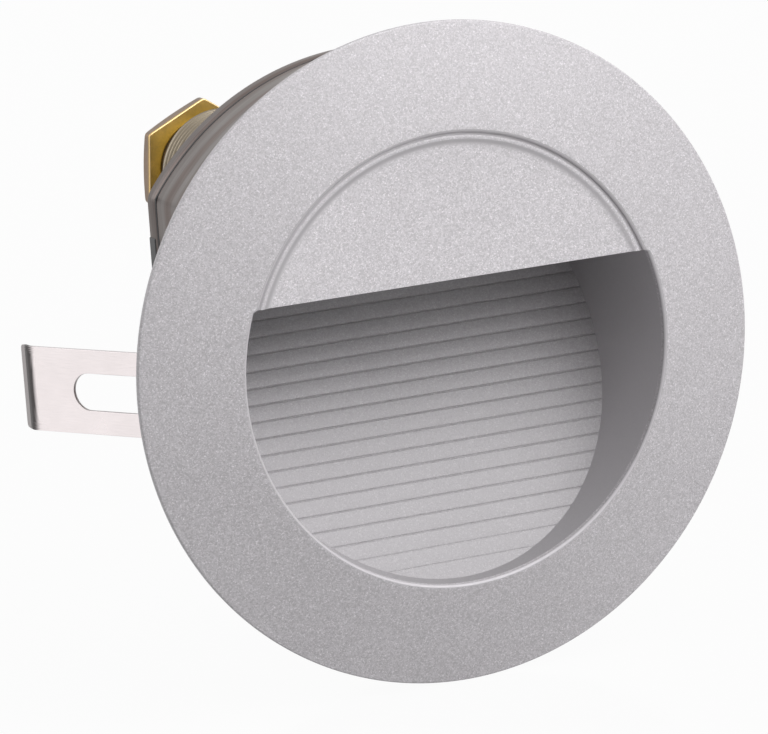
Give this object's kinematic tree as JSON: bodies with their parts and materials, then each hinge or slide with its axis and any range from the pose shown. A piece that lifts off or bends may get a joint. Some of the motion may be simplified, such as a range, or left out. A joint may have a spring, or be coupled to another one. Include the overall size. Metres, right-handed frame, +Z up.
{
  "type": "recessed outdoor wall light",
  "caption": "Round recessed wall light: conical front ring, half-moon hood over a sloping grooved reflector, can with swing-out anchor straps and a brass cable gland.",
  "frame": {"origin": "on the can's axis in the plane of the wall, which is the back face of the front ring", "axes": "+X to the right seen from the room, +Y into the wall, +Z up; the lit front faces -Y"},
  "size_m": [0.1492, 0.0702, 0.14],
  "materials": {
    "silver_paint": "fine sparkling metallic silver-grey paint, satin",
    "foam_rubber": "matt closed-cell foam",
    "black_rubber": "matt black rubber",
    "clear_silicone": "milky silicone rubber",
    "zinc_steel": "bright zinc-plated steel",
    "opal_plastic": "opal white, translucent look",
    "white_board": "white solder mask on an aluminium board",
    "lamp_chip": "yellow phosphor face",
    "bare_aluminium": "bare extruded aluminium",
    "white_plastic": "moulded white plastic, fine grain",
    "brass": "turned brass with bright cut edges",
    "brass_thread": "turned brass ribs and thread, slightly silvery",
    "red_lead": "red insulated wire",
    "brown_lead": "brown insulated wire",
    "stainless": "polished stainless strip",
    "can_metal": "bare warm grey metal with faint lengthwise streaks",
    "black_plastic": "black moulded plastic"
  },
  "bodies": {
    "can": {"can_shell": "can_metal", "cover_gasket": "black_rubber", "rear_cover": "can_metal", "cover_screws": "stainless", "cover_latches": "black_plastic", "gland_washer": "black_rubber", "gland_body": "brass_thread", "gland_locknut": "brass", "gland_seal": "black_rubber", "strap_foot_left": "stainless", "strap_foot_right": "stainless", "strap_pins": "stainless", "foot_screws": "stainless"},
    "head": {"front_ring": "silver_paint", "wall_gasket": "foam_rubber", "collar_gasket": "black_rubber", "reflector_tub": "silver_paint", "tub_screws": "zinc_steel", "hood": "silver_paint", "hood_screws": "zinc_steel", "window_gasket": "clear_silicone", "light_window": "opal_plastic", "led_board": "white_board", "led_chips": "lamp_chip", "board_screws": "zinc_steel", "heat_sink": "bare_aluminium", "sink_screws": "zinc_steel", "lead_grommet": "black_rubber", "driver_case": "white_plastic", "driver_screws": "zinc_steel", "terminal_block": "white_plastic", "terminal_screws": "brass", "led_leads": "red_lead", "supply_leads": "brown_lead", "head_clips": "stainless", "clip_rivets": "bare_aluminium"},
    "strap_left": {"strap_arm_left": "stainless"},
    "strap_right": {"strap_arm_right": "stainless"},
    "gland_pressure_ring": {"gland_ring": "stainless"},
    "gland_cap": {"gland_nut": "brass"}
  },
  "joints": [
    {"name": "head_slide", "type": "slide", "parent": "can", "child": "head", "axis": [0, -1, 0], "range_m": [0, 0.045]},
    {"name": "strap_left_swing", "type": "hinge", "parent": "can", "child": "strap_left", "pos_m": [-0.0522, 0.01483, -0.004], "axis": [0, 0, 1], "range_deg": [-31, 57]},
    {"name": "strap_right_swing", "type": "hinge", "parent": "can", "child": "strap_right", "pos_m": [0.0522, 0.01483, -0.004], "axis": [0, 0, -1], "range_deg": [-31, 57]},
    {"name": "gland_nut_travel", "type": "slide", "parent": "can", "child": "gland_pressure_ring", "axis": [0, 1, 0], "range_m": [0, 0.0031]},
    {"name": "gland_nut_turn", "type": "hinge", "parent": "gland_pressure_ring", "child": "gland_cap", "pos_m": [-0.0284, 0.0563, 0.0368], "axis": [0, 1, 0], "range_deg": [0, 720]}
  ],
  "couplings": [
    {"joint": "gland_nut_travel", "follows": "gland_nut_turn", "m_per_rad": 0.00023873}
  ]
}
